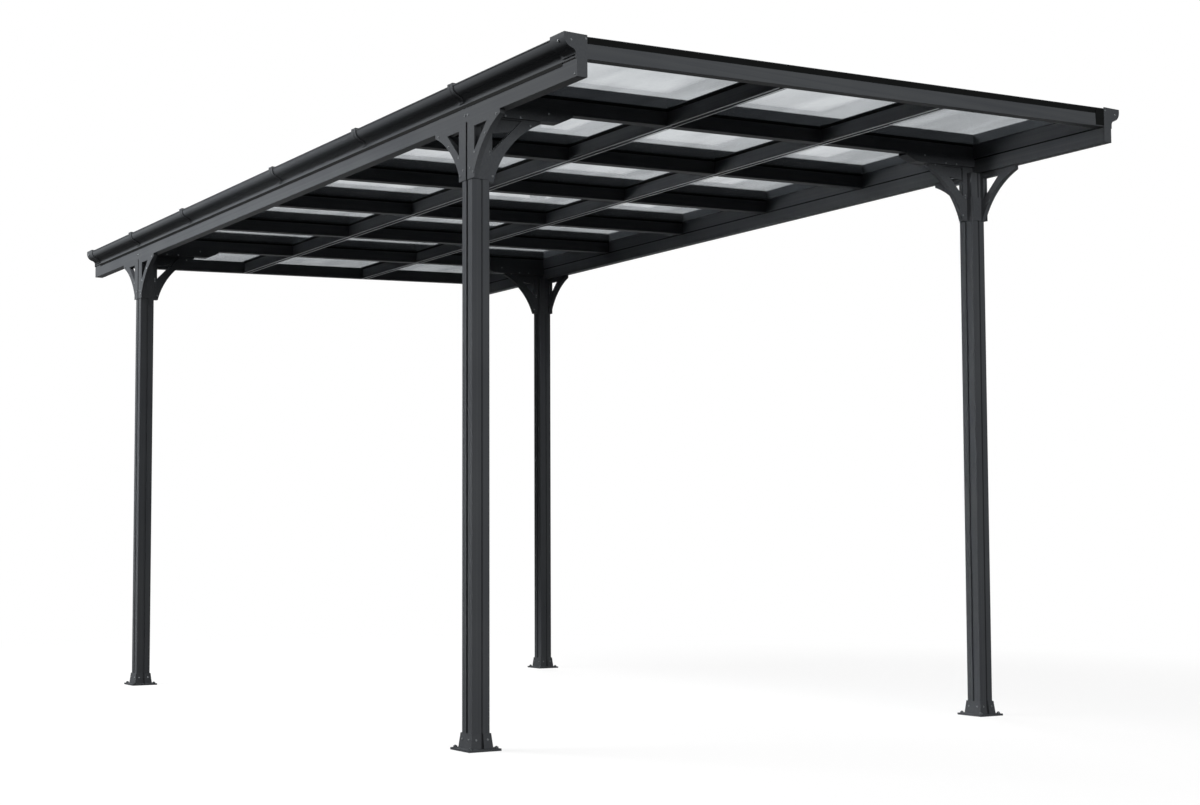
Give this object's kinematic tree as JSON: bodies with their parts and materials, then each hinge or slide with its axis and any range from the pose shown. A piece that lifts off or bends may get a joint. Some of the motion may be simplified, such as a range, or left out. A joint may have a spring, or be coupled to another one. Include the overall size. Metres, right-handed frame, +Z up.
{
  "type": "carport",
  "caption": "Open single carport in dark powder-coated aluminium: fluted posts on bolted shoes, curved braces, moulded gutters and a clear glazed low-pitch roof.",
  "frame": {"origin": "on the ground, in the middle of the plan", "axes": "+X across to the right, +Y from the front to the rear along the roof, +Z up"},
  "size_m": [2.945, 5.31, 2.7547],
  "materials": {
    "frame": "satin powder coat",
    "glazing": "clear extruded sheet",
    "seal": "matt"
  },
  "bodies": {
    "root": {"post_front_left": "frame", "post_front_right": "frame", "post_rear_left": "frame", "post_rear_right": "frame", "base_shoe_front_left": "frame", "base_shoe_front_right": "frame", "base_shoe_rear_left": "frame", "base_shoe_rear_right": "frame", "fore_brace_front_left": "frame", "fore_brace_front_right": "frame", "fore_brace_rear_left": "frame", "fore_brace_rear_right": "frame", "aft_brace_front_left": "frame", "aft_brace_front_right": "frame", "aft_brace_rear_left": "frame", "aft_brace_rear_right": "frame", "cross_brace_front_left": "frame", "cross_brace_front_right": "frame", "cross_brace_rear_left": "frame", "cross_brace_rear_right": "frame", "side_beam_left": "frame", "side_beam_right": "frame", "gutter_left": "frame", "gutter_right": "frame", "gutter_cap_front_left": "frame", "gutter_cap_front_right": "frame", "gutter_cap_rear_left": "frame", "gutter_cap_rear_right": "frame", "beam_caps_left": "frame", "beam_caps_right": "frame", "gutter_sleeves_left": "frame", "gutter_sleeves_right": "frame", "edge_beam_front": "frame", "edge_beam_rear": "frame", "edge_seals": "seal", "cross_beam_1": "frame", "cross_beam_2": "frame", "cross_beam_3": "frame", "cross_beam_4": "frame", "cross_beam_5": "frame", "cross_beam_6": "frame", "purlin_left": "frame", "purlin_right": "frame", "panes_left": "glazing", "panes_middle": "glazing", "panes_right": "glazing", "cover_bars_across": "frame", "cover_bars_along": "frame"}
  },
  "joints": []
}
